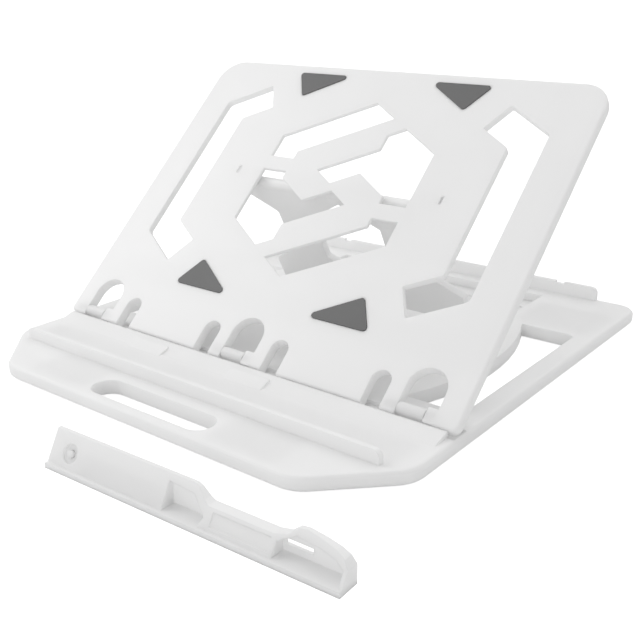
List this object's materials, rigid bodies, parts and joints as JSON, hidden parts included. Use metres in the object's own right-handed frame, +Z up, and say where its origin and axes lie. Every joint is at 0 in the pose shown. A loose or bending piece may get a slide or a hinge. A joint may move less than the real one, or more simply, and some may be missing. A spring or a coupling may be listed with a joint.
{
  "type": "laptop stand",
  "caption": "Folding white plastic laptop stand: a ventilated tray tilts up on a flat base, held by a hinged prop leg, with a loose slim device rest in front",
  "frame": {"origin": "bottom centre of the bounding box of the whole object as it stands, on the desk", "axes": "+X to the user's right along the hinge, +Y away from the user, +Z up"},
  "size_m": [0.3016, 0.3522, 0.1541],
  "materials": {
    "shell_white": "fine satin moulded texture",
    "pad_grey": "matt silicone",
    "foot_grey": "matt",
    "pin_steel": "drawn wire"
  },
  "bodies": {
    "base": {"base_foot_front_left": "foot_grey", "base_foot_front_right": "foot_grey", "base_foot_middle_left": "foot_grey", "base_foot_middle_right": "foot_grey", "base_foot_rear_left": "foot_grey", "base_foot_rear_right": "foot_grey", "base_tray": "shell_white"},
    "tray": {"hinge_pin_centre": "pin_steel", "hinge_pin_left": "pin_steel", "hinge_pin_right": "pin_steel", "leg_pin_left": "pin_steel", "leg_pin_right": "pin_steel", "panel_pad_front_left": "pad_grey", "panel_pad_front_right": "pad_grey", "panel_pad_rear_left": "pad_grey", "panel_pad_rear_right": "pad_grey", "tilt_panel": "shell_white"},
    "leg": {"support_leg": "shell_white"},
    "rest": {"device_rest": "shell_white", "rest_peg": "shell_white"}
  },
  "joints": [
    {"name": "tray_tilt", "type": "hinge", "parent": "base", "child": "tray", "pos_m": [-0.0098, -0.04891, 0.01315], "axis": [1, 0, 0], "range_deg": [-42.7, 3]},
    {"name": "leg_swing", "type": "hinge", "parent": "tray", "child": "leg", "pos_m": [-0.0098, 0.04051, 0.08804], "axis": [1, 0, 0], "range_deg": [-8, 104.8]},
    {"name": "rest_slide", "type": "slide", "parent": "base", "child": "rest", "axis": [0, 1, 0], "range_m": [0, 0.02]}
  ],
  "couplings": [
    {"joint": "leg_swing", "follows": "tray_tilt", "ratio": -2.452}
  ]
}
